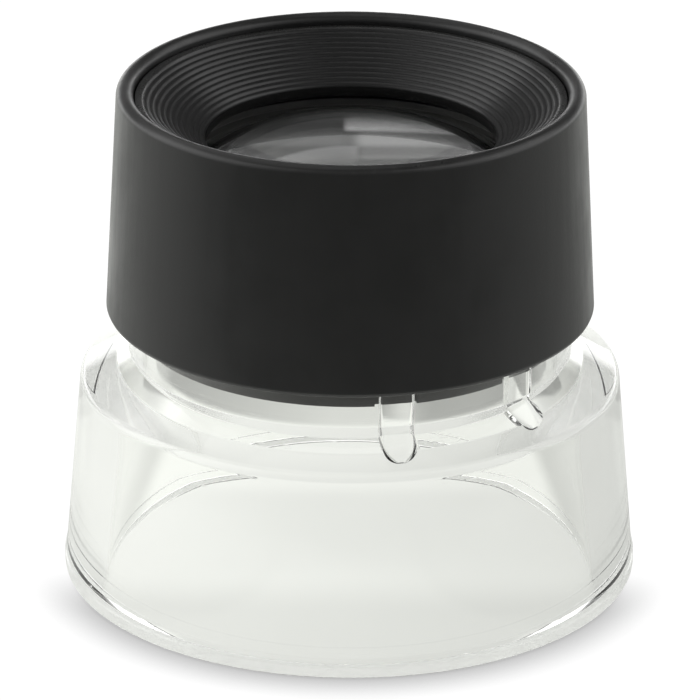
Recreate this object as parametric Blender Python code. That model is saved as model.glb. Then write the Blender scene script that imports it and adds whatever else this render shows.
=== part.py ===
"""Viewing loupe: a clear stand with a focusing black eyepiece that carries two lenses.

The scene is in metres; the sizes below are in millimetres. +Z is up, the front
faces -Y, and the origin is the centre of the stand's bottom rim. Everything shares
the Z axis. The eyepiece hood turns on the stand's threaded neck. The lens tube
hangs from the hood on a thrust ring and is keyed to ribs inside the neck, so it
slides without turning.
"""

import math

import bmesh
import bpy

MM = 0.001

# ---- fits ----
GAP = 0.3                # play between stacked pieces, and at rib, lug and lens edges
SIDE_PLAY = 0.35         # play on each side of a sliding fit

# ---- stand ----
BASE_R = 26.85           # outer radius of the bottom rim
FOOT_H = 1.1             # height of the thin foot lip
FOOT_STEP = 0.15         # how far the lip stands out
FOOT_CHAMFER = 0.35      # bevel inside the bottom rim
SHOULDER_R = 25.15       # outer radius at the top of the skirt
SHOULDER_Z = 18.35       # where the skirt ends
SHOULDER_FILLET = 1.2
SHOULDER_SWEEP = 56.0    # degrees that the fillet turns
SKIRT_IN_R = 22.7        # inner radius above the bevelled bottom edge
SKIRT_IN_TOP_R = 20.75   # inner corner under the shoulder
SKIRT_IN_TOP_Z = 18.65
NECK_R = 20.65           # outer radius of the neck
NECK_FOOT_Z = 21.85      # where the shoulder meets the neck
NECK_TOP_Z = 34.35
NECK_BORE_R = 19.2
NECK_IN_FOOT_Z = 19.65   # bottom of the neck's bore

# ---- guide ribs inside the neck ----
RIB_ANGLES = (12.4, 50.8, 192.4, 230.8)   # degrees from the front, towards +X
RIB_W = 3.1
RIB_IN_R = 18.4          # inner face of a rib
RIB_BOTTOM_Z = 17.4
RIB_TOP_Z = 26.35
RIB_NOSE = 2.4           # how far the lower end falls back
RIB_NOSE_H = 1.9         # height over which it does
RIB_NOSE_STEPS = 4
RIB_BEND_RISE = 0.6      # from the foot of the bore up to the station above the nose
RIB_SINK_SHOULDER = 0.9  # how far a rib's back sinks into the wall: at the nose,
RIB_SINK_BEND = 0.5      # just above the foot of the bore,
RIB_SINK_TOP = 0.35      # and at the top

# ---- focusing thread: lugs on the hood, grooves in the neck ----
STARTS = 3
LEAD = 9.0               # rise per turn
TURN_LIMIT = 80.0        # degrees each way
LUG_H = 1.2              # height of a lug's section
LUG_ARC = 29.0           # degrees that each lug covers
LUG_Z = 29.55            # height of a lug's middle
LUG_FIRST = 31.3         # degrees from +X, towards +Y, to the first lug
LUG_SINK = 0.4           # how far a lug sinks into the hood's wall
LUG_STEPS = 6
GROOVE_FLOOR_R = 19.95
GROOVE_H = LUG_H + 2.0 * SIDE_PLAY
GROOVE_SPARE = 10.0      # degrees of groove beyond the lug's reach
GROOVE_OVERCUT = 0.8     # how far the cutter stands out of the neck
GROOVE_STEPS = 44
LUG_IN_R = GROOVE_FLOOR_R + GAP   # tip of a lug

# ---- hood ----
HOOD_BOTTOM_R = 22.6
HOOD_BOTTOM_Z = 25.6
HOOD_CHAMFER_W = 0.25    # bevel outside the bottom edge
HOOD_CHAMFER_H = 0.3
HOOD_BORE_R = NECK_R + SIDE_PLAY
HOOD_ROOF_Z = 37.55      # underside of the roof, above the neck's travel
HOOD_ROOF_T = 1.0
HOOD_ROOF_TOP_Z = HOOD_ROOF_Z + HOOD_ROOF_T
HOOD_ROOF_IN_R = 18.2
RIM_Z = 46.1             # centre of the rounded rim
RIM_R = 20.66
RIM_TUBE = 0.8           # radius of the rim's section
CUP_SEAT_R = RIM_R - RIM_TUBE

# ---- ribbed cup ----
CUP_R = 19.5
CUP_TOP_R = 19.35
CUP_TOP_Z = 45.9
CUP_LIP_Z = 42.05        # foot of the lowest ridge
CUP_BOTTOM_Z = 41.05
APERTURE_R = 13.35
RIDGES = 12
RIDGE_DRAFT = 0.1        # inward lean of each ridge's riser
HOLLOW_IN_R = 14.6       # ring-shaped hollow in the underside
HOLLOW_BEND_R = 15.2
HOLLOW_BEND_H = 0.7
HOLLOW_OUT_R = 17.9
HOLLOW_H = 2.4           # greatest depth, at its outer wall

# ---- lenses ----
LENS_R = 15.8
LENS_CURVE_R = 30.0      # radius of the convex faces
LENS_RINGS = 6
UPPER_EDGE = 3.0         # edge thickness
LOWER_EDGE = 1.5
UPPER_CROWN_Z = 43.05
LOWER_CROWN_Z = 33.15

# ---- lens tube ----
TUBE_R = NECK_BORE_R - SIDE_PLAY
TUBE_NECK_R = 17.8       # upper part, which passes through the hood's roof
TUBE_BORE_R = LENS_R + GAP
TUBE_LIP_R = 15.0
TUBE_BOTTOM_Z = 23.3
TUBE_SHOULDER_Z = HOOD_ROOF_Z - GAP
TUBE_LIP_Z = 39.55
TUBE_TOP_Z = 40.25
KEYWAY_IN_R = RIB_IN_R - GAP
KEYWAY_W = RIB_W + 2.0 * SIDE_PLAY
KEYWAY_TOP_Z = 29.35
KEYWAY_OVERCUT = 1.0     # how far the cutter passes the tube's side and bottom

# ---- thrust ring, on the tube above the hood's roof ----
THRUST_IN_R = 17.95
THRUST_R = 18.95
THRUST_BOTTOM_Z = HOOD_ROOF_TOP_Z + GAP
THRUST_TOP_Z = 39.95
THRUST_CHAMFER = 0.2

# ---- spacer and retaining ring ----
SPACER_R = LENS_R        # outer radius of both
SPACER_IN_R = 14.8
RETAINER_IN_R = 14.4
RETAINER_FLARE = 0.5     # how much wider its bore is at the top
RETAINER_BOTTOM_Z = 24.35

# ---- facets around the axis, and sharp-edge angles in degrees ----
LARGE_FACETS = 60
SMALL_FACETS = 40
SHARP_ANGLE = 28.0
LENS_SHARP_ANGLE = 30.0


# ---- mesh helpers ----------------------------------------------------------
def material(name, colour, roughness, transmission=0.0):
    mat = bpy.data.materials.new(name)
    mat.use_nodes = True
    inputs = mat.node_tree.nodes["Principled BSDF"].inputs
    inputs["Base Color"].default_value = (*colour, 1.0)
    inputs["Roughness"].default_value = roughness
    inputs["Transmission Weight"].default_value = transmission
    inputs["IOR"].default_value = 1.49   # acrylic
    return mat


def arc(centre_r, centre_z, radius, start, end, steps):
    """Points on a circle in the (r, z) plane, from start to end degrees."""
    points = []
    for i in range(steps + 1):
        angle = math.radians(start + (end - start) * i / steps)
        points.append((centre_r + radius * math.cos(angle),
                       centre_z + radius * math.sin(angle)))
    return points


def finish_mesh(name, bm):
    bmesh.ops.recalc_face_normals(bm, faces=bm.faces)
    mesh = bpy.data.meshes.new(name)
    bm.to_mesh(mesh)
    bm.free()
    obj = bpy.data.objects.new(name, mesh)
    bpy.context.scene.collection.objects.link(obj)
    return obj


def revolve(name, profile, mat, facets=SMALL_FACETS, sharp=SHARP_ANGLE, closed=True):
    """Turn an (r, z) profile about the Z axis. An open profile (closed=False)
    starts and ends on the axis, where each end is a single vertex."""
    bm = bmesh.new()
    rings = []
    for r, z in profile:
        if r < 1e-6:
            rings.append([bm.verts.new((0.0, 0.0, z * MM))])
            continue
        ring = []
        for i in range(facets):
            angle = 2.0 * math.pi * i / facets
            ring.append(bm.verts.new((r * MM * math.cos(angle),
                                      r * MM * math.sin(angle), z * MM)))
        rings.append(ring)

    pairs = list(zip(rings, rings[1:]))
    if closed:
        pairs.append((rings[-1], rings[0]))
    for this, following in pairs:
        for i in range(facets):
            j = (i + 1) % facets
            if len(this) == 1:
                bm.faces.new((this[0], following[j], following[i]))
            elif len(following) == 1:
                bm.faces.new((this[i], this[j], following[0]))
            else:
                bm.faces.new((this[i], this[j], following[j], following[i]))

    obj = finish_mesh(name, bm)
    obj.data.shade_smooth()
    obj.data.set_sharp_from_angle(angle=math.radians(sharp))
    obj.data.materials.append(mat)
    return obj


def loft(name, sections):
    """A triangulated solid through four-cornered sections, closed at both ends."""
    bm = bmesh.new()
    loops = [[bm.verts.new((x * MM, y * MM, z * MM)) for x, y, z in section]
             for section in sections]
    for this, following in zip(loops, loops[1:]):
        for i in range(4):
            j = (i + 1) % 4
            bm.faces.new((this[i], this[j], following[j], following[i]))
    bm.faces.new(list(reversed(loops[0])))
    bm.faces.new(loops[-1])
    bmesh.ops.triangulate(bm, faces=bm.faces)
    return finish_mesh(name, bm)


def thread_bar(name, start, r_in, r_out, height, turn_from, turn_to, steps):
    """A rectangular bar along one start of the thread's helix. The turns are
    degrees from the middle of that start's lug."""
    sections = []
    for i in range(steps + 1):
        turn = turn_from + (turn_to - turn_from) * i / steps
        angle = math.radians(LUG_FIRST + 360.0 * start / STARTS + turn)
        middle = LUG_Z + LEAD * turn / 360.0
        low = middle - height / 2.0
        high = middle + height / 2.0
        corners = ((r_in, low), (r_out, low), (r_out, high), (r_in, high))
        sections.append([(r * math.cos(angle), r * math.sin(angle), z) for r, z in corners])
    return loft(name, sections)


def radial_block(name, degrees, stations):
    """A block that points away from the axis, at degrees from the front.
    Each station is (z, inner radius, outer radius, half width), bottom to top."""
    angle = math.radians(degrees - 90.0)
    cos_a = math.cos(angle)
    sin_a = math.sin(angle)
    sections = []
    for z, r_in, r_out, half in stations:
        corners = ((r_in, -half), (r_out, -half), (r_out, half), (r_in, half))
        sections.append([(r * cos_a - side * sin_a, r * sin_a + side * cos_a, z)
                         for r, side in corners])
    return loft(name, sections)


def boolean(target, tool, operation):
    """Apply a tool through a live modifier; the tool stays as a hidden helper."""
    tool.hide_render = True
    tool.display_type = "WIRE"
    mod = target.modifiers.new(tool.name, "BOOLEAN")
    mod.operation = operation
    mod.solver = "EXACT"
    mod.object = tool


# ---- clear stand: skirt, shoulder and neck ---------------------------------
def rib_stations():
    """Stations of a guide rib: a rounded nose, then a straight run up the bore."""
    half = RIB_W / 2.0
    stations = []
    for i in range(1, RIB_NOSE_STEPS + 1):
        angle = math.pi / 2.0 * i / RIB_NOSE_STEPS
        stations.append((
            RIB_BOTTOM_Z + RIB_NOSE_H * (1.0 - math.cos(angle)),
            RIB_IN_R + RIB_NOSE * math.cos(angle),
            SKIRT_IN_TOP_R + RIB_SINK_SHOULDER,
            half * math.sin(angle),
        ))
    stations += [
        (NECK_IN_FOOT_Z + RIB_BEND_RISE, RIB_IN_R, NECK_BORE_R + RIB_SINK_BEND, half),
        (RIB_TOP_Z, RIB_IN_R, NECK_BORE_R + RIB_SINK_TOP, half),
    ]
    return stations


def build_stand(mat):
    profile = [
        (SKIRT_IN_R, FOOT_CHAMFER),
        (SKIRT_IN_R + FOOT_CHAMFER, 0.0),
        (BASE_R, 0.0),
        (BASE_R, FOOT_H),
        (BASE_R - FOOT_STEP, FOOT_H),
        *arc(SHOULDER_R - SHOULDER_FILLET, SHOULDER_Z, SHOULDER_FILLET,
             0.0, SHOULDER_SWEEP, steps=3),
        (NECK_R, NECK_FOOT_Z),
        (NECK_R, NECK_TOP_Z),
        (NECK_BORE_R, NECK_TOP_Z),
        (NECK_BORE_R, NECK_IN_FOOT_Z),
        (SKIRT_IN_TOP_R, SKIRT_IN_TOP_Z),
    ]
    stand = revolve("clear_stand", profile, mat, facets=LARGE_FACETS)

    for i, degrees in enumerate(RIB_ANGLES):
        boolean(stand, radial_block(f"rib_tool_{i}", degrees, rib_stations()), "UNION")

    # Each groove runs on until it has left the neck's top.
    turn_from = -(TURN_LIMIT + LUG_ARC / 2.0 + GROOVE_SPARE)
    turn_to = (NECK_TOP_Z + GROOVE_H - LUG_Z) * 360.0 / LEAD
    for i in range(STARTS):
        tool = thread_bar(f"groove_tool_{i}", i, GROOVE_FLOOR_R, NECK_R + GROOVE_OVERCUT,
                          GROOVE_H, turn_from, turn_to, GROOVE_STEPS)
        boolean(stand, tool, "DIFFERENCE")


# ---- eyepiece hood, with its thread lugs -----------------------------------
def build_hood(mat):
    profile = [
        (HOOD_BORE_R, HOOD_BOTTOM_Z),
        (HOOD_BOTTOM_R - HOOD_CHAMFER_W, HOOD_BOTTOM_Z),
        (HOOD_BOTTOM_R, HOOD_BOTTOM_Z + HOOD_CHAMFER_H),
        *arc(RIM_R, RIM_Z, RIM_TUBE, 0.0, 180.0, steps=7),
        (CUP_SEAT_R, HOOD_ROOF_TOP_Z),
        (HOOD_ROOF_IN_R, HOOD_ROOF_TOP_Z),
        (HOOD_ROOF_IN_R, HOOD_ROOF_Z),
        (HOOD_BORE_R, HOOD_ROOF_Z),
    ]
    hood = revolve("eyepiece_hood", profile, mat, facets=LARGE_FACETS)
    for i in range(STARTS):
        tool = thread_bar(f"lug_tool_{i}", i, LUG_IN_R, HOOD_BORE_R + LUG_SINK,
                          LUG_H, -LUG_ARC / 2.0, LUG_ARC / 2.0, LUG_STEPS)
        boolean(hood, tool, "UNION")


# ---- ribbed cup between the rim and the aperture ---------------------------
def build_cup(mat):
    profile = [(CUP_TOP_R, CUP_TOP_Z)]
    step_r = (CUP_TOP_R - APERTURE_R) / RIDGES
    step_z = (CUP_TOP_Z - CUP_LIP_Z) / RIDGES
    for i in range(RIDGES):
        z = CUP_TOP_Z - step_z * (i + 1)
        profile.append((CUP_TOP_R - step_r * i - RIDGE_DRAFT, z))
        profile.append((CUP_TOP_R - step_r * (i + 1), z))
    profile += [
        (APERTURE_R, CUP_BOTTOM_Z),
        (HOLLOW_IN_R, CUP_BOTTOM_Z),
        (HOLLOW_BEND_R, CUP_BOTTOM_Z + HOLLOW_BEND_H),
        (HOLLOW_OUT_R, CUP_BOTTOM_Z + HOLLOW_H),
        (HOLLOW_OUT_R, CUP_BOTTOM_Z),
        (CUP_R, CUP_BOTTOM_Z),
        (CUP_R, CUP_TOP_Z),
    ]
    revolve("ribbed_cup", profile, mat)


# ---- lens tube, with a keyway for each rib ---------------------------------
def build_tube(mat):
    profile = [
        (TUBE_BORE_R, TUBE_BOTTOM_Z),
        (TUBE_R, TUBE_BOTTOM_Z),
        (TUBE_R, TUBE_SHOULDER_Z),
        (TUBE_NECK_R, TUBE_SHOULDER_Z),
        (TUBE_NECK_R, TUBE_TOP_Z),
        (TUBE_LIP_R, TUBE_TOP_Z),
        (TUBE_LIP_R, TUBE_LIP_Z),
        (TUBE_BORE_R, TUBE_LIP_Z),
    ]
    tube = revolve("lens_tube", profile, mat, facets=LARGE_FACETS)
    stations = [(z, KEYWAY_IN_R, TUBE_R + KEYWAY_OVERCUT, KEYWAY_W / 2.0)
                for z in (TUBE_BOTTOM_Z - KEYWAY_OVERCUT, KEYWAY_TOP_Z)]
    for i, degrees in enumerate(RIB_ANGLES):
        boolean(tube, radial_block(f"keyway_tool_{i}", degrees, stations), "DIFFERENCE")


def build_thrust_ring(mat):
    revolve("thrust_ring", [
        (THRUST_IN_R, THRUST_BOTTOM_Z),
        (THRUST_R, THRUST_BOTTOM_Z),
        (THRUST_R, THRUST_TOP_Z - THRUST_CHAMFER),
        (THRUST_R - THRUST_CHAMFER, THRUST_TOP_Z),
        (THRUST_IN_R, THRUST_TOP_Z),
    ], mat)


# ---- lenses, spacer and retaining ring -------------------------------------
def convex_z(crown_z, r):
    """Height of a lens's convex face at radius r."""
    return crown_z - LENS_CURVE_R + math.sqrt(LENS_CURVE_R ** 2 - r * r)


def flat_z(crown_z, edge):
    """Height of a lens's flat face."""
    return convex_z(crown_z, LENS_R) - edge


def build_lens(name, crown_z, edge, mat):
    """A plano-convex lens, convex side up."""
    bottom = flat_z(crown_z, edge)
    profile = [(0.0, bottom), (LENS_R, bottom)]
    for i in range(LENS_RINGS + 1):
        r = LENS_R * (1.0 - i / LENS_RINGS)
        profile.append((r, convex_z(crown_z, r)))
    revolve(name, profile, mat, sharp=LENS_SHARP_ANGLE, closed=False)


def build_spacer(mat):
    bottom = convex_z(LOWER_CROWN_Z, SPACER_IN_R) + GAP
    top = flat_z(UPPER_CROWN_Z, UPPER_EDGE) - GAP
    revolve("lens_spacer", [
        (SPACER_IN_R, bottom), (SPACER_R, bottom), (SPACER_R, top), (SPACER_IN_R, top),
    ], mat)


def build_retainer(mat):
    top = flat_z(LOWER_CROWN_Z, LOWER_EDGE) - GAP
    revolve("retaining_ring", [
        (RETAINER_IN_R, RETAINER_BOTTOM_Z),
        (SPACER_R, RETAINER_BOTTOM_Z),
        (SPACER_R, top),
        (RETAINER_IN_R + RETAINER_FLARE, top),
    ], mat)


def main():
    for obj in list(bpy.data.objects):
        bpy.data.objects.remove(obj, do_unlink=True)

    build_stand(material("clear_acrylic", colour=(0.96, 0.97, 0.95), roughness=0.03,
                         transmission=1.0))
    build_hood(material("hood_plastic", colour=(0.018, 0.018, 0.018), roughness=0.45))
    build_cup(material("cup_plastic", colour=(0.014, 0.014, 0.014), roughness=0.5))
    build_tube(material("tube_plastic", colour=(0.03, 0.03, 0.03), roughness=0.55))

    ring_black = material("ring_plastic", colour=(0.02, 0.02, 0.022), roughness=0.6)
    lens_clear = material("lens_acrylic", colour=(0.98, 0.98, 0.98), roughness=0.02,
                          transmission=1.0)
    build_thrust_ring(ring_black)
    build_lens("upper_lens", UPPER_CROWN_Z, UPPER_EDGE, lens_clear)
    build_lens("lower_lens", LOWER_CROWN_Z, LOWER_EDGE, lens_clear)
    build_spacer(ring_black)
    build_retainer(ring_black)


main()
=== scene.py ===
"""Looks of a viewing loupe: clear stand, screwed-on eyepiece hood, and lens carrier.

The loupe stands upright, turned about Z, with its foot at z = 0. The camera looks from
the front (-Y), and +X is on its right. Part sizes are in millimetres (r from the axis,
z up from the foot). The scene, its lights and all shader lengths are in metres, except
the z heights handed to a material, which are in millimetres.
"""
import math

import bmesh
import bpy
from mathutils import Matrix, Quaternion, Vector


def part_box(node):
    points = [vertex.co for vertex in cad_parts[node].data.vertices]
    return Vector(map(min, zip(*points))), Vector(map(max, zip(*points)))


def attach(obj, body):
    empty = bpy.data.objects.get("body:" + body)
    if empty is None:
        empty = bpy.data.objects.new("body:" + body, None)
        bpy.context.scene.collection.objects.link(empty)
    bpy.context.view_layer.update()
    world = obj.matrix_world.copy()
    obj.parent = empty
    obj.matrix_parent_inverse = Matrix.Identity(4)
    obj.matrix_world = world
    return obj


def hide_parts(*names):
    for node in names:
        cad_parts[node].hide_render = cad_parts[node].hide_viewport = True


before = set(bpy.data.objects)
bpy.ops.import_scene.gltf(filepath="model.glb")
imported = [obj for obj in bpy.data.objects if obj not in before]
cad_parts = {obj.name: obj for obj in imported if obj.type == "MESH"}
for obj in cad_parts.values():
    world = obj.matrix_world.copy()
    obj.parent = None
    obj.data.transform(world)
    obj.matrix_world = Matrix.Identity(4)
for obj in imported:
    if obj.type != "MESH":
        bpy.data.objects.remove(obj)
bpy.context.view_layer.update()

MM = 0.001


# --------------------------------------------------------------------------
# sizes
# --------------------------------------------------------------------------
def span(node):
    """Outer radius, lowest z and highest z of a piece of the frame."""
    low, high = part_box(node)
    return high.x / MM, low.z / MM, high.z / MM


BASE_R, _, NECK_TOP = span("clear_stand")
HOOD_R, HOOD_Z0, HOOD_Z1 = span("eyepiece_hood")
CUP_R, CUP_Z0, CUP_Z1 = span("ribbed_cup")
TUBE_R, TUBE_Z0, TUBE_Z1 = span("lens_tube")
LENS_R, _, UPPER_CROWN = span("upper_lens")
_, _, LOWER_CROWN = span("lower_lens")
THRUST_R, THRUST_Z0, THRUST_Z1 = span("thrust_ring")
SPACER_R, SPACER_Z0, SPACER_Z1 = span("lens_spacer")
RETAINER_R, RETAINER_Z0, RETAINER_Z1 = span("retaining_ring")

# stand: a tapering skirt, a rounded shoulder and a straight neck
SKIRT_R, SKIRT_Z = BASE_R - 0.15, 1.2           # outer wall, above the base's edge
SHOULDER_R, SHOULDER_Z, SHOULDER_FILLET = 25.15, 18.35, 1.2
SHOULDER_SWEEP = 58.4                           # degrees of fillet up to the slope
NECK_R, NECK_FOOT, NECK_BORE, BORE_FOOT = 20.65, 21.85, 19.2, 19.65
SKIRT_IN, SKIRT_TOP_R, SKIRT_TOP_Z = 22.7, 20.75, 18.65
FOOT_CHAMFER = 0.35

# guide ribs in the stand's bore, and the keyways in the lens tube that clear them
RIB_ANGLES = (12.4, 50.8, 192.4, 230.8)         # degrees about Z, from the front
RIB_W, RIB_IN, RIB_Z0, RIB_Z1 = 3.1, 18.4, 17.4, 26.35
RIB_NOSE, RIB_NOSE_H = 2.4, 1.9                 # depth and height of the rounded low end
RIB_ROOT_LOW, RIB_ROOT_HIGH = SKIRT_TOP_R + 0.9, NECK_BORE + 0.5
RIB_SOFT = 0.45
KEY_IN, KEY_TOP, KEY_HALF = 18.1, 29.35, 1.9

# screw thread between neck and hood
LEAD, STARTS = 9.0, 3
LUG_Z, LUG_FIRST = 29.55, 31.3                  # middle of the first lug; degrees from +X
LUG_IN, LUG_H, LUG_HALF_TURN = 20.25, 1.2, 14.5
GROOVE_IN, GROOVE_H, GROOVE_START = 19.95, 1.9, -104.5

# hood: tapering wall, rounded rim, and an inner roof that seats the cup
HOOD_FOOT_Z = HOOD_Z0 + 0.3
RIM_R, RIM_Z, RIM_TUBE = 20.66, 46.1, 0.8
HOOD_BORE, ROOF_Z, ROOF_TOP, ROOF_IN, SEAT_R = 21.0, 37.55, 38.55, 18.2, 19.86

# cup: a ridged cone down to the aperture
CONE_R, SEAM_R = CUP_R - 0.15, SEAT_R - 0.11
APERTURE, LIP_Z, RIDGES, RIDGE_H, RIDGE_STEPS = 13.35, 42.05, 12, 0.12, 7
CUP_LEG = 17.9                                  # inner radius of the outer wall

# lens carrier
TUBE_BORE, TUBE_NECK, TUBE_LIP = 16.1, 17.8, 15.0
TUBE_STEP_Z, TUBE_LIP_Z = 37.25, 39.55
LENS_CURVE, LENS_BEVEL = 30.0, 0.12
UPPER_EDGE, LOWER_EDGE = 3.0, 1.5               # thickness of the lenses at the edge


# --------------------------------------------------------------------------
# outlines: lists of corners (r, z, rounding radius)
# --------------------------------------------------------------------------
def arc(centre_r, centre_z, radius, start, end, steps):
    corners = []
    for i in range(steps + 1):
        angle = math.radians(start + (end - start) * i / steps)
        corners.append((centre_r + radius * math.cos(angle),
                        centre_z + radius * math.sin(angle), 0))
    return corners


def along(start, end, fractions):
    """Unrounded points on the line between two (r, z) points."""
    return [(start[0] + (end[0] - start[0]) * t, start[1] + (end[1] - start[1]) * t, 0)
            for t in fractions]


def rounded(corners, steps=6):
    """Turn a closed list of corners into (r, z) points, with the corners rounded."""
    points = []
    for k, (r, z, radius) in enumerate(corners):
        corner = Vector((r, z))
        if radius <= 0:
            points.append(tuple(corner))
            continue
        back = Vector(corners[k - 1][:2]) - corner
        ahead = Vector(corners[(k + 1) % len(corners)][:2]) - corner
        back_length, ahead_length = back.length, ahead.length
        back.normalize()
        ahead.normalize()
        angle = back.angle(ahead)
        if angle > math.radians(176):
            points.append(tuple(corner))
            continue
        # A rounding never takes more than 45 % of either side.
        cut = min(radius / math.tan(angle / 2), 0.45 * back_length, 0.45 * ahead_length)
        fitted = cut * math.tan(angle / 2)
        centre = corner + (back + ahead).normalized() * (fitted / math.sin(angle / 2))
        first, last = corner + back * cut, corner + ahead * cut
        start = math.atan2(first.y - centre.y, first.x - centre.x)
        end = math.atan2(last.y - centre.y, last.x - centre.x)
        sweep = (end - start + math.pi) % (2 * math.pi) - math.pi
        for i in range(steps + 1):
            t = start + sweep * i / steps
            points.append((centre.x + fitted * math.cos(t), centre.y + fitted * math.sin(t)))
    return points


# --------------------------------------------------------------------------
# meshes
# --------------------------------------------------------------------------
def link(name, bm):
    bmesh.ops.recalc_face_normals(bm, faces=bm.faces)
    mesh = bpy.data.meshes.new(name)
    bm.to_mesh(mesh)
    bm.free()
    ob = bpy.data.objects.new(name, mesh)
    bpy.context.scene.collection.objects.link(ob)
    return ob


def smooth(mesh, sharp):
    """Shade smooth, except at edges steeper than sharp degrees."""
    mesh.shade_smooth()
    mesh.set_sharp_from_angle(angle=math.radians(sharp))


def lathe(name, profile, segments, sharp, closed=True):
    """Turn (r, z) points about Z. A point on the axis becomes a single vertex."""
    bm = bmesh.new()
    rings = []
    for r, z in profile:
        if r < 1e-6:
            rings.append([bm.verts.new((0, 0, z * MM))])
            continue
        ring = []
        for i in range(segments):
            a = 2 * math.pi * i / segments
            ring.append(bm.verts.new((r * MM * math.cos(a), r * MM * math.sin(a), z * MM)))
        rings.append(ring)
    for k in range(len(rings) if closed else len(rings) - 1):
        here, there = rings[k], rings[(k + 1) % len(rings)]
        for i in range(segments):
            j = (i + 1) % segments
            if len(here) == 1:
                bm.faces.new((here[0], there[j], there[i]))
            elif len(there) == 1:
                bm.faces.new((here[i], here[j], there[0]))
            else:
                bm.faces.new((here[i], here[j], there[j], there[i]))
    ob = link(name, bm)
    smooth(ob.data, sharp)
    return ob


def skin(name, sections):
    """Closed triangulated solid through a row of sections, given as points in metres."""
    bm = bmesh.new()
    rows = [[bm.verts.new(point) for point in section] for section in sections]
    count = len(rows[0])
    for lower, upper in zip(rows, rows[1:]):
        for i in range(count):
            j = (i + 1) % count
            bm.faces.new((lower[i], lower[j], upper[j], upper[i]))
    bm.faces.new(list(reversed(rows[0])))
    bm.faces.new(rows[-1])
    bmesh.ops.triangulate(bm, faces=bm.faces)
    return link(name, bm)


def facing(degrees, z, points):
    """Level section from (r, sideways) points, turned by degrees from the front."""
    a = math.radians(degrees - 90.0)
    cos_a, sin_a = math.cos(a), math.sin(a)
    return [((r * cos_a - y * sin_a) * MM, (r * sin_a + y * cos_a) * MM, z * MM)
            for r, y in points]


def block(name, degrees, z_span, r_in, r_out, half):
    """Straight block pointing away from the axis; half is half its width."""
    corners = ((r_in, -half), (r_out, -half), (r_out, half), (r_in, half))
    return skin(name, [facing(degrees, z, corners) for z in z_span])


def rib(name, degrees):
    """Guide rib with rounded inner edges, whose lower end is a rounded nose."""
    half = RIB_W / 2
    stations = []                               # z, inner r, outer r, half width
    for k in range(2, 13):
        t = math.pi / 2 * k / 12
        stations.append((RIB_Z0 + RIB_NOSE_H * (1 - math.cos(t)),
                         RIB_IN + RIB_NOSE * math.cos(t), RIB_ROOT_LOW, half * math.sin(t)))
    stations += [(BORE_FOOT + 0.6, RIB_IN, RIB_ROOT_HIGH, half),
                 (RIB_Z1, RIB_IN, RIB_ROOT_HIGH - 0.15, half)]
    quarter = [math.radians(t) for t in range(0, 91, 15)]
    sections = []
    for z, r_in, r_out, h in stations:
        soft = min(RIB_SOFT, 0.7 * h)
        points = [(r_out, -h), (r_out, h)]
        points += [(r_in + soft - soft * math.sin(t), h - soft + soft * math.cos(t))
                   for t in quarter]
        points += [(r_in + soft - soft * math.cos(t), -h + soft - soft * math.sin(t))
                   for t in quarter]
        sections.append(facing(degrees, z, points))
    return skin(name, sections)


def thread(kind, r_in, r_out, height, turn_from, turn_to, steps):
    """One helical bar per thread start. Turns are degrees from the middle of its lug."""
    bars = []
    for n in range(STARTS):
        middle = LUG_FIRST + 360.0 / STARTS * n
        sections = []
        for i in range(steps + 1):
            turn = turn_from + (turn_to - turn_from) * i / steps
            a = math.radians(middle + turn)
            z = LUG_Z + LEAD * turn / 360.0
            low, high = z - height / 2, z + height / 2
            sections.append([(r * MM * math.cos(a), r * MM * math.sin(a), h * MM)
                             for r, h in ((r_in, low), (r_out, low), (r_out, high), (r_in, high))])
        bars.append(skin("%s_%d" % (kind, n), sections))
    return bars


def carve(target, sharp, add=(), cut=()):
    """Join and then cut with exact Booleans, apply them, and remove the tools."""
    bpy.context.view_layer.objects.active = target
    for tools, operation in ((add, "UNION"), (cut, "DIFFERENCE")):
        for tool in tools:
            modifier = target.modifiers.new(tool.name, "BOOLEAN")
            modifier.operation = operation
            modifier.solver = "EXACT"
            modifier.object = tool
    depsgraph = bpy.context.evaluated_depsgraph_get()
    mesh = bpy.data.meshes.new_from_object(target.evaluated_get(depsgraph))
    target.modifiers.clear()
    old = target.data
    target.data = mesh
    bpy.data.meshes.remove(old)
    for tool in (*add, *cut):
        bpy.data.objects.remove(tool)
    smooth(mesh, sharp)


def dress(ob, material, body, node):
    """Give a piece its material, put it under its body, and hide the frame's piece of that node."""
    ob.data.materials.clear()
    ob.data.materials.append(material)
    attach(ob, body)
    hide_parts(node)


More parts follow.
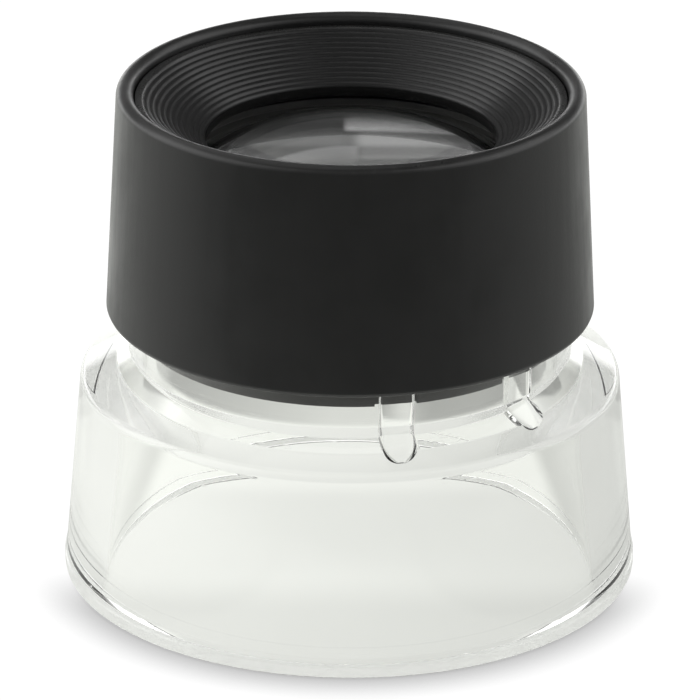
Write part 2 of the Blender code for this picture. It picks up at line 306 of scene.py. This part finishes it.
# --------------------------------------------------------------------------
# shader graphs
# --------------------------------------------------------------------------
class Graph:
    """Node tree of a material or world, with short ways to add its nodes."""

    def __init__(self, owner, coordinates):
        owner.use_nodes = True
        self.owner = owner
        self.tree = owner.node_tree
        self.nodes = self.tree.nodes
        self.place = self.add("TexCoord").outputs[coordinates]

    def feed(self, node, inputs):
        """Set or link sockets. inputs: socket name or number -> value or output."""
        for key, value in inputs.items():
            if isinstance(value, bpy.types.NodeSocket):
                self.tree.links.new(value, node.inputs[key])
            else:
                node.inputs[key].default_value = value

    def add(self, kind, inputs={}, **settings):
        node = self.nodes.new("ShaderNode" + kind)
        for key, value in settings.items():
            setattr(node, key, value)
        self.feed(node, inputs)
        return node

    def position(self):
        return self.add("SeparateXYZ", {0: self.place}).outputs

    def noise(self, detail, rough, scale=1.0, stretch=None, distortion=0.0):
        """Noise; stretch multiplies the place on each axis first."""
        vector = self.place
        if stretch:
            vector = self.add("Mapping", {"Scale": stretch, "Vector": vector}).outputs["Vector"]
        return self.add("TexNoise", {
            "Scale": scale, "Detail": detail, "Roughness": rough,
            "Distortion": distortion, "Vector": vector}).outputs["Fac"]

    def ramp(self, value, over, to=(0.0, 1.0), ease=True):
        """Map the range over onto the range to, held constant beyond its ends."""
        return self.add("MapRange", {
            "From Min": over[0], "From Max": over[1], "To Min": to[0], "To Max": to[1],
            "Value": value}, interpolation_type="SMOOTHSTEP" if ease else "LINEAR",
        ).outputs["Result"]

    def calc(self, operation, a, b=None):
        inputs = {0: a} if b is None else {0: a, 1: b}
        return self.add("Math", inputs, operation=operation).outputs[0]

    def plus(self, a, b):
        return self.calc("ADD", a, b)

    def minus(self, a, b):
        return self.calc("SUBTRACT", a, b)

    def times(self, a, b):
        return self.calc("MULTIPLY", a, b)

    def blend(self, factor, a, b):
        """Number a where factor is 0, b where it is 1."""
        return self.plus(self.times(a, self.minus(1.0, factor)), self.times(b, factor))

    def fade(self, value, coordinate, table):
        """Multiply value by each factor of the table, reached over its range."""
        for over, factor in table:
            value = self.times(value, self.ramp(coordinate, over=over, to=(1.0, factor)))
        return value

    def mix(self, factor, a, b):
        """Colour a where factor is 0, b where it is 1."""
        a, b = [(*c, 1.0) if isinstance(c, tuple) else c for c in (a, b)]
        # Sockets 0, 6 and 7 are the factor and the two colours; output 2 is the colour.
        return self.add("Mix", {0: factor, 6: a, 7: b}, data_type="RGBA").outputs[2]

    def mix_shader(self, factor, a, b):
        return self.add("MixShader", {0: factor, 1: a, 2: b}).outputs[0]

    def bump(self, height, strength, distance, normal=None):
        inputs = {"Strength": strength, "Distance": distance, "Height": height}
        if normal is not None:
            inputs["Normal"] = normal
        return self.add("Bump", inputs).outputs["Normal"]


def material_graph(name):
    """Graph of a new material, and its Principled shader."""
    m = Graph(bpy.data.materials.new(name), "Object")
    return m, m.nodes["Principled BSDF"]


# --------------------------------------------------------------------------
# materials
# --------------------------------------------------------------------------
def black_plastic(name, dark, light, rough, grain, depth, wear_and_sheen_bands, matt_below=None):
    """Moulded black plastic: fine grain, cloudy sheen, dust, and edges lightened by wear and a
    painted sheen.

    grain is the scale of the grain and depth its bump. wear_and_sheen_bands lists (low z, high z)
    bands of edge wear with a painted sheen. Below the height matt_below the surface is flat black.
    """
    m, shader = material_graph(name)
    z = m.position()["Z"]
    cloud = m.noise(scale=160.0, detail=4.0, rough=0.6)
    streak = m.noise(stretch=(900.0, 900.0, 60.0), detail=3.0, rough=0.6)
    colour = m.mix(m.ramp(cloud, over=(0.3, 0.7)), dark, light)
    specks = m.noise(scale=5200.0, detail=2.0, rough=0.7)
    dust = m.ramp(specks, over=(0.66, 0.74), to=(0.0, 0.35))
    colour = m.mix(dust, colour, tuple(c * 1.8 for c in light))
    roughness = m.plus(m.ramp(cloud, over=(0.3, 0.7), to=(rough - 0.035, rough + 0.035)),
                       m.ramp(streak, over=(0.35, 0.65), to=(-0.02, 0.02)))

    # edge wear and a painted sheen: lighter and smoother, at half strength along each band and in
    # full in patches
    bands = []
    for low, high in wear_and_sheen_bands:
        middle, half = (low + high) / 2 * MM, (high - low) / 2 * MM
        away = m.calc("ABSOLUTE", m.minus(z, middle))
        bands.append(m.ramp(away, over=(half * 0.25, half), to=(1.0, 0.0)))
    edges = bands[0]
    for band in bands[1:]:
        edges = m.calc("MAXIMUM", edges, band)
    patches = m.ramp(m.noise(scale=420.0, detail=4.0, rough=0.7), over=(0.5, 0.72), to=(0.5, 1.0))
    wear_and_sheen = m.times(edges, patches)
    colour = m.mix(m.times(wear_and_sheen, 0.45), colour, (0.06, 0.06, 0.058))
    roughness = m.minus(roughness, m.times(wear_and_sheen, 0.12))

    if matt_below is not None:
        above = m.ramp(z, over=((matt_below - 0.12) * MM, matt_below * MM))
        colour = m.mix(above, (0.009, 0.009, 0.009), colour)
        roughness = m.calc("MAXIMUM", roughness, m.times(m.minus(1.0, above), 0.75))
        m.feed(shader, {"Specular IOR Level": m.plus(m.times(above, 0.42), 0.08)})

    fine = m.noise(scale=grain, detail=2.0, rough=0.6)
    cells = m.add("TexVoronoi", {"Scale": grain * 0.8, "Vector": m.place}).outputs["Distance"]
    normal = m.bump(m.plus(m.times(fine, 0.7), m.times(cells, 0.5)), strength=0.35, distance=depth)
    waves = m.noise(scale=90.0, detail=2.0, rough=0.5)
    normal = m.bump(waves, strength=0.08, distance=0.0004, normal=normal)
    m.feed(shader, {"Base Color": colour, "Roughness": roughness, "IOR": 1.46, "Normal": normal})
    return m.owner


def clear_surface(name, tint, wave):
    """Start of a clear plastic: faint cloudy tint and slow waviness, wave deep.

    Returns the graph, its shader, the colour and the normal.
    """
    m, shader = material_graph(name)
    cloud = m.noise(scale=55.0, detail=3.0, rough=0.5)
    colour = m.mix(m.ramp(cloud, over=(0.3, 0.7)), tint, tuple(c * 0.992 for c in tint))
    normal = m.bump(m.noise(scale=70.0, detail=2.0, rough=0.5), strength=0.10, distance=wave)
    m.feed(shader, {"Roughness": 0.0, "Transmission Weight": 1.0, "IOR": 1.49})
    return m, shader, colour, normal


def lens_acrylic():
    m, shader, colour, normal = clear_surface("lens_acrylic", tint=(0.985, 0.99, 0.985),
                                              wave=0.00002)
    m.feed(shader, {"Base Color": colour, "Normal": normal})
    return m.owner


def clear_acrylic():
    """The stand's plastic: hairline marks, and scuffs near the edge on the table."""
    m, shader, colour, normal = clear_surface("clear_acrylic", tint=(0.984, 0.988, 0.976),
                                              wave=0.00012)
    low = m.ramp(m.position()["Z"], over=(0.0, SKIRT_SCUFF_Z * MM), to=(1.0, 0.0))
    marks = m.noise(stretch=(500.0, 500.0, 3800.0), detail=4.0, rough=0.75)
    marks = m.ramp(marks, over=(0.56, 0.7))
    colour = m.mix(m.times(low, m.times(marks, 0.7)), colour, (0.90, 0.90, 0.89))
    hair = m.noise(stretch=(300.0, 300.0, 2600.0), detail=2.0, rough=0.6, distortion=0.4)
    hair = m.ramp(hair, over=(0.62, 0.66))
    normal = m.bump(hair, strength=0.05, distance=0.00001, normal=normal)
    m.feed(shader, {"Base Color": colour, "Normal": normal})
    # Shadow rays pass, so that the lamps reach through the clear wall.
    passing = m.add("BsdfTransparent", {0: (0.94, 0.94, 0.93, 1)}).outputs[0]
    shadow = m.add("LightPath").outputs["Is Shadow Ray"]
    surface = m.mix_shader(shadow, shader.outputs[0], passing)
    m.feed(m.nodes["Material Output"], {"Surface": surface})
    return m.owner


def rubbed_acrylic_painted_glow():
    """The face that slides on the table: rubbed dull and whitish, with a faint painted glow
    (emission) standing in for light from the table.
    """
    m, shader = material_graph("rubbed_acrylic_painted_glow")
    rub = m.noise(stretch=(700.0, 700.0, 700.0), detail=4.0, rough=0.7, distortion=0.8)
    grit = m.noise(scale=6000.0, detail=3.0, rough=0.7)
    m.feed(shader, {
        "Base Color": m.mix(m.ramp(rub, over=(0.3, 0.7)), (0.78, 0.79, 0.765), (0.86, 0.865, 0.845)),
        "Roughness": m.ramp(rub, over=(0.3, 0.7), to=(0.5, 0.65)),
        # Painted light: the face glows a little, for light from the table that the render doesn't
        # carry there.
        "Emission Color": (0.985, 1.0, 0.965, 1),
        "Emission Strength": 0.34,
        "Normal": m.bump(grit, strength=0.3, distance=0.00002),
    })
    return m.owner


SKIRT_SCUFF_Z = 1.6                             # scuffs fade out at this height

acrylic = clear_acrylic()
foot_acrylic = rubbed_acrylic_painted_glow()
lens_clear = lens_acrylic()
# Each plastic lists its edge bands, lightened by wear and a painted sheen.
hood_black = black_plastic(
    "hood_plastic", dark=(0.0042, 0.0042, 0.0042), light=(0.0066, 0.0065, 0.0064),
    rough=0.40, grain=3600.0, depth=0.000012, wear_and_sheen_bands=[(25.5, 26.1), (46.2, 47.1)])
cup_black = black_plastic(
    "cup_plastic", dark=(0.0042, 0.0042, 0.0042), light=(0.0072, 0.0072, 0.0072),
    rough=0.34, grain=4200.0, depth=0.000010, wear_and_sheen_bands=[(45.65, 46.05)], matt_below=LIP_Z)
tube_black = black_plastic(
    "tube_plastic", dark=(0.023, 0.022, 0.0215), light=(0.034, 0.033, 0.0315),
    rough=0.5, grain=3800.0, depth=0.000010, wear_and_sheen_bands=[(23.2, 23.7)])
ring_black = black_plastic(
    "ring_plastic", dark=(0.010, 0.010, 0.011), light=(0.016, 0.016, 0.017),
    rough=0.55, grain=4000.0, depth=0.000010, wear_and_sheen_bands=[(24.25, 24.65)])


# --------------------------------------------------------------------------
# pieces
# --------------------------------------------------------------------------
def build_stand():
    outline = [
        (SKIRT_IN, FOOT_CHAMFER, 0.1),
        (SKIRT_IN + FOOT_CHAMFER, 0.0, 0.08),
        (BASE_R, 0.0, 0.22),
        (BASE_R, 1.05, 0.12),
        (SKIRT_R, SKIRT_Z, 0.1),
        *along((SKIRT_R, SKIRT_Z), (SHOULDER_R, SHOULDER_Z), [i / 10 for i in range(1, 10)]),
        *arc(SHOULDER_R - SHOULDER_FILLET, SHOULDER_Z, SHOULDER_FILLET,
             start=0.0, end=SHOULDER_SWEEP, steps=14),
        (NECK_R, NECK_FOOT, 0.12),
        (NECK_R, HOOD_Z0 - 1.2, 0),
        (NECK_R, HOOD_Z0 - 0.1, 0),
        (NECK_R, NECK_TOP, 0.2),
        (NECK_BORE, NECK_TOP, 0.15),
        (NECK_BORE, BORE_FOOT, 0.12),
        (SKIRT_TOP_R, SKIRT_TOP_Z, 0.35),
        *along((SKIRT_TOP_R, SKIRT_TOP_Z), (SKIRT_IN, FOOT_CHAMFER),
               (0.10, 0.2, 0.32, 0.46, 0.6, 0.75, 0.9)),
    ]
    stand = lathe("clear_stand_fine", rounded(outline), segments=288, sharp=40.0)
    ribs = [rib("rib_%d" % n, degrees) for n, degrees in enumerate(RIB_ANGLES)]
    grooves = []
    # The grooves run out through the top of the neck.
    grooves = thread("groove", GROOVE_IN, NECK_R + 0.8, GROOVE_H, turn_from=GROOVE_START,
                     turn_to=(NECK_TOP + GROOVE_H - LUG_Z) * 360.0 / LEAD, steps=120)
    carve(stand, sharp=30.0, add=ribs, cut=grooves)
    dress(stand, acrylic, "stand", "clear_stand")
    # The flat underside has its own material: rubbed whitish, with a painted glow.
    stand.data.materials.append(foot_acrylic)
    for face in stand.data.polygons:
        face.material_index = 1 if face.normal.z < -0.99 and face.center.z < 0.02 * MM else 0


def build_hood():
    outline = [
        (HOOD_BORE, HOOD_Z0, 0.15),
        (HOOD_R - 0.12, HOOD_Z0, 0.18),
        (HOOD_R, HOOD_FOOT_Z, 0.2),
        *along((HOOD_R, HOOD_FOOT_Z), (RIM_R + RIM_TUBE, RIM_Z), [i / 8 for i in range(1, 8)]),
        *arc(RIM_R, RIM_Z, RIM_TUBE, start=0.0, end=180.0, steps=30),
        (SEAT_R, ROOF_TOP, 0.1),
        (ROOF_IN, ROOF_TOP, 0.1),
        (ROOF_IN, ROOF_Z, 0.1),
        (HOOD_BORE, ROOF_Z, 0.4),
    ]
    hood = lathe("eyepiece_hood_fine", rounded(outline), segments=288, sharp=38.0)
    lugs = thread("lug", LUG_IN, HOOD_BORE + 0.4, LUG_H,
                  turn_from=-LUG_HALF_TURN, turn_to=LUG_HALF_TURN, steps=20)
    carve(hood, sharp=34.0, add=lugs)
    dress(hood, hood_black, "hood", "eyepiece_hood")


def build_cup():
    # outer wall, with a fine seam against the hood
    profile = [(CUP_R, CUP_Z0), (CUP_R, CUP_Z1 - 1.1), (SEAM_R, CUP_Z1 - 0.95),
               (SEAM_R, CUP_Z1 - 0.07), (SEAM_R - 0.06, CUP_Z1)]
    # rounded ridges standing out of the cone, with sharp grooves between them
    for n in range(RIDGES):
        r0 = CONE_R - (CONE_R - APERTURE) * n / RIDGES
        r1 = CONE_R - (CONE_R - APERTURE) * (n + 1) / RIDGES
        z0 = CUP_Z1 - (CUP_Z1 - LIP_Z) * n / RIDGES
        z1 = CUP_Z1 - (CUP_Z1 - LIP_Z) * (n + 1) / RIDGES
        run, rise = r1 - r0, z1 - z0
        length = math.hypot(run, rise)
        for k in range(RIDGE_STEPS):
            t = k / RIDGE_STEPS
            out = RIDGE_H * math.sin(math.pi * t)
            profile.append((r0 + run * t + out * rise / length,
                            z0 + rise * t - out * run / length))
    # aperture wall and the hollow underside
    profile += [(APERTURE, LIP_Z), (APERTURE, CUP_Z0 + 0.1), (APERTURE + 0.1, CUP_Z0),
                (14.6, CUP_Z0), (15.2, CUP_Z0 + 0.7), (CUP_LEG, CUP_Z0 + 2.4), (CUP_LEG, CUP_Z0)]
    cup = lathe("ribbed_cup_fine", profile, segments=288, sharp=45.0)
    dress(cup, cup_black, "hood", "ribbed_cup")


def build_tube():
    outline = [
        (TUBE_BORE, TUBE_Z0, 0.1),
        (TUBE_R, TUBE_Z0, 0.15),
        (TUBE_R, TUBE_STEP_Z, 0.25),
        (TUBE_NECK, TUBE_STEP_Z, 0.1),
        (TUBE_NECK, TUBE_Z1, 0.15),
        (TUBE_LIP, TUBE_Z1, 0.1),
        (TUBE_LIP, TUBE_LIP_Z, 0.1),
        (TUBE_BORE, TUBE_LIP_Z, 0.1),
    ]
    tube = lathe("lens_tube_fine", rounded(outline), segments=240, sharp=38.0)
    keyways = [block("key_%d" % n, degrees, z_span=(TUBE_Z0 - 1, KEY_TOP),
                     r_in=KEY_IN, r_out=TUBE_R + 1, half=KEY_HALF)
               for n, degrees in enumerate(RIB_ANGLES)]
    carve(tube, sharp=34.0, cut=keyways)
    dress(tube, tube_black, "lens_carrier", "lens_tube")


def build_ring(node, r_in, r_out, z0, z1, soft, slots=0):
    """Plain ring, with slots evenly spaced in its lower face."""
    outline = [(r_in, z0, soft), (r_out, z0, soft), (r_out, z1, soft), (r_in, z1, soft)]
    ring = lathe(node + "_fine", rounded(outline, steps=4), segments=192, sharp=40.0)
    if slots:
        cuts = [block("slot_%d" % k, 90.0 + 360.0 * k / slots, z_span=(z0 - 0.5, z0 + 0.7),
                      r_in=r_in - 0.4, r_out=r_out - 0.35, half=0.55)
                for k in range(slots)]
        carve(ring, sharp=36.0, cut=cuts)
    dress(ring, ring_black, "lens_carrier", node)


def build_lens(node, crown, edge):
    """Lens with a flat underside and a domed top that reaches up to crown."""
    def top(r):
        return crown - LENS_CURVE + math.sqrt(LENS_CURVE ** 2 - r * r)

    flat = top(LENS_R) - edge
    dome_r = LENS_R - LENS_BEVEL
    profile = [(LENS_R * i / 8, flat) for i in range(8)]
    profile += [(dome_r, flat), (LENS_R, flat + LENS_BEVEL),
                (LENS_R, top(LENS_R) - 0.1), (dome_r, top(dome_r))]
    dome_steps = 40
    for i in range(1, dome_steps + 1):
        r = dome_r * (1 - i / dome_steps)
        profile.append((r, top(r)))
    lens = lathe(node + "_fine", profile, segments=192, sharp=25.0, closed=False)
    dress(lens, lens_clear, "lens_carrier", node)


build_stand()
build_hood()
build_cup()
build_tube()
build_ring("thrust_ring", 17.95, THRUST_R, THRUST_Z0, THRUST_Z1, soft=0.12)
build_ring("lens_spacer", 14.8, SPACER_R, SPACER_Z0, SPACER_Z1, soft=0.1)
build_ring("retaining_ring", 14.4, RETAINER_R, RETAINER_Z0, RETAINER_Z1, soft=0.12, slots=2)
build_lens("upper_lens", UPPER_CROWN, UPPER_EDGE)
build_lens("lower_lens", LOWER_CROWN, LOWER_EDGE)


# --------------------------------------------------------------------------
# table
# --------------------------------------------------------------------------
FLOOR_R, FLOOR_Z, FLOOR_SIDES = 2.5, -0.00006, 64
FRONT_TABLE = 0.28                              # glow of the open table in front


def table_glow(m):
    """Glow of the table as the loupe shows it, painted by place in metres."""
    place = m.position()
    x, y = place["X"], place["Y"]
    radius = m.calc("SQRT", m.plus(m.times(x, x), m.times(y, y)))
    aside = m.calc("ABSOLUTE", x)

    # under the stand: brighter on the left, a little darker towards the camera
    inside = m.ramp(x, over=(-0.024, 0.024), to=(0.91, 0.745), ease=False)
    inside = m.fade(inside, y, (((-0.003, -0.012), 0.87), ((0.014, 0.020), 1.10)))

    # just behind and beside the stand: painted light and shade, darker on the right and off to
    # either side
    beside = m.blend(m.ramp(x, over=(-0.004, 0.010)), 1.0, 0.93)
    wide = m.blend(m.ramp(x, over=(-0.001, 0.001)),
                   m.ramp(aside, over=(0.027, 0.034), to=(0.72, 0.88)),
                   m.ramp(aside, over=(0.027, 0.034), to=(0.60, 0.66)))
    beside = m.blend(m.ramp(aside, over=(0.023, 0.027)), beside, wide)

    # the hood's soft shadow further behind, which the neck shows
    shadow = m.ramp(x, over=(-0.026, -0.002), to=(0.26, 0.69), ease=False)
    shadow = m.fade(shadow, x, (((0.003, 0.010), 0.51), ((0.014, 0.028), 0.55),
                                ((0.027, 0.031), 1.45), ((-0.0255, -0.0295), 1.7)))
    # The shadow starts at a curved line, adjusted at its two ends.
    curved = m.minus(y, m.times(m.times(x, x), 16.5))
    curved = m.plus(curved, m.times(m.ramp(x, over=(0.026, 0.031), to=(0.0, 0.0026)),
                                    m.ramp(x, over=(0.0345, 0.036), to=(1.0, -3.0))))
    curved = m.plus(curved, m.ramp(x, over=(-0.026, -0.0305), to=(0.0, 0.0009)))
    curved = m.minus(curved, m.ramp(x, over=(-0.0318, -0.036), to=(0.0, 0.008)))
    glow = m.blend(m.ramp(curved, over=(0.0300, 0.0325)), beside, shadow)
    glow = m.blend(m.ramp(radius, over=(0.0262, 0.0275)), inside, glow)

    # the open table: brighter towards the back, dim towards the camera
    far = m.blend(m.ramp(x, over=(-0.02, 0.02)), 0.84, 0.52)
    far = m.plus(far, m.ramp(m.calc("DIVIDE", y, radius), over=(0.50, 0.93), to=(0.0, 0.64)))
    glow = m.blend(m.ramp(radius, over=(0.072, 0.082)), glow, far)
    front = m.times(m.ramp(radius, over=(0.045, 0.080)), m.ramp(y, over=(-0.02, -0.09)))
    glow = m.blend(front, glow, FRONT_TABLE)
    cloud = m.noise(scale=38.0, detail=2.0, rough=0.5)
    return m.times(glow, m.ramp(cloud, over=(0.3, 0.7), to=(0.985, 1.015))), y


def studio_sweep():
    m, shader = material_graph("studio_sweep")
    glow, y = table_glow(m)
    m.feed(shader, {
        "Base Color": (0.06, 0.06, 0.059, 1),
        "Roughness": 0.7,
        "Specular IOR Level": 0.0,
        "Emission Color": (0.985, 1.0, 0.958, 1),
        "Emission Strength": glow,
    })
    # Seen directly, the table is plain white with a soft contact shadow in front.
    contact = m.add("AmbientOcclusion", {"Distance": 0.0085}, samples=24).outputs["AO"]
    shade = m.ramp(contact, over=(0.48, 0.94), to=(0.52, 1.06))
    shade = m.blend(m.ramp(y, over=(-0.014, -0.002)), shade, 1.06)
    plain = m.add("Emission", {"Color": (1, 1, 1, 1), "Strength": shade}).outputs[0]
    direct = m.add("LightPath").outputs["Is Camera Ray"]
    m.feed(m.nodes["Material Output"],
           {"Surface": m.mix_shader(direct, shader.outputs[0], plain)})
    return m.owner


def build_floor():
    bm = bmesh.new()
    angles = [2 * math.pi * i / FLOOR_SIDES for i in range(FLOOR_SIDES)]
    bm.faces.new([bm.verts.new((FLOOR_R * math.cos(a), FLOOR_R * math.sin(a), FLOOR_Z))
                  for a in angles])
    floor = link("studio_floor", bm)
    # Which way a single flat face turns out isn't certain.
    if floor.data.polygons[0].normal.z < 0:
        floor.data.flip_normals()
    floor.data.materials.append(studio_sweep())


build_floor()

# --------------------------------------------------------------------------
# surroundings, lights and camera
# --------------------------------------------------------------------------
# brightness of the surroundings, relative to white
SIDE_L, SIDE_R = 1.75, 1.65                     # sheets at the left and right
ROOM = 0.30                                     # in front
PANEL_L, PANEL_R, LOW_BACK = 1.55, 0.12, 0.125  # behind: left, right and lower part
HORIZON = 2.4                                   # low strip behind
TOP, TOP_CLEAR = 0.12, 0.42                     # above; above as seen through clear parts


def build_world():
    """Surroundings painted by direction; x, y and z are those of the ray."""
    world = bpy.data.worlds.new("studio")
    bpy.context.scene.world = world
    w = Graph(world, "Generated")
    direction = w.position()
    x, y, z = direction["X"], direction["Y"], direction["Z"]
    sky = w.blend(w.ramp(y, over=(-0.35, -0.85)),
                  w.ramp(x, over=(-1.0, 1.0), to=(SIDE_L, SIDE_R)), ROOM)

    # the panel behind, with a darker lower part that is lifted on the left
    panel = w.blend(w.ramp(x, over=(0.005, 0.035)), PANEL_L, PANEL_R)
    low = w.plus(w.ramp(z, over=(0.36, 0.43), to=(LOW_BACK - 0.02, LOW_BACK - 0.05)),
                 w.ramp(z, over=(0.46, 0.52), to=(0.0, 0.07)))
    left = w.times(w.ramp(x, over=(0.01, -0.05)), w.ramp(z, over=(0.36, 0.40)))
    low = w.times(low, w.blend(left, 1.0, 2.3))
    panel = w.blend(w.ramp(z, over=(0.595, 0.635)), low, panel)
    behind = w.times(w.ramp(y, over=(0.42, 0.66)), w.ramp(z, over=(0.10, 0.20)))
    sky = w.blend(behind, sky, panel)

    horizon = w.times(w.ramp(y, over=(0.5, 0.8)), w.ramp(z, over=(0.20, 0.06)))
    sky = w.blend(horizon, sky, HORIZON)
    ray = w.add("LightPath").outputs
    top = w.blend(ray["Is Transmission Ray"], TOP, TOP_CLEAR)
    sky = w.blend(w.ramp(z, over=(0.66, 0.80)), sky, top)
    # Seen directly, the surroundings are plain white.
    w.feed(w.nodes["Background"], {
        "Strength": w.blend(ray["Is Camera Ray"], sky, 1.0), "Color": (1, 1, 1, 1)})


def softbox(name, place, width, height, power):
    """Rectangular area light aimed at the loupe."""
    lamp = bpy.data.lights.new(name, "AREA")
    lamp.shape = "RECTANGLE"
    lamp.size = width
    lamp.size_y = height
    lamp.energy = power
    ob = bpy.data.objects.new(name, lamp)
    bpy.context.scene.collection.objects.link(ob)
    ob.location = place
    aim = Vector((0, 0, 0.02)) - Vector(place)
    ob.rotation_euler = aim.to_track_quat("-Z", "Y").to_euler()


def build_camera():
    data = bpy.data.cameras.new("camera")
    camera = bpy.data.objects.new("camera", data)
    bpy.context.scene.collection.objects.link(camera)
    bpy.context.scene.camera = camera
    data.sensor_width = 36.0
    data.lens = 255.6
    data.clip_start = 0.01
    data.clip_end = 20.0
    camera.location = (0.0, -0.4268, 0.20015)
    look = (Vector((0, 0, 0.02075)) - Vector(camera.location)).to_track_quat("-Z", "Y")
    roll = Quaternion((0, 0, 1), math.radians(0.25))
    camera.rotation_euler = (look @ roll).to_euler()


build_world()
softbox("key_softbox", place=(-0.10, 0.05, 0.55), width=0.40, height=0.40, power=0.28)
softbox("fill_softbox", place=(-0.48, 0.10, 0.26), width=0.30, height=0.35, power=0.22)
build_camera()

scene = bpy.context.scene
scene.view_settings.view_transform = "Standard"
scene.cycles.max_bounces = 16
scene.cycles.transmission_bounces = 16
scene.cycles.transparent_max_bounces = 16
scene.cycles.glossy_bounces = 8
scene.cycles.diffuse_bounces = 4
scene.cycles.sample_clamp_indirect = 4.0
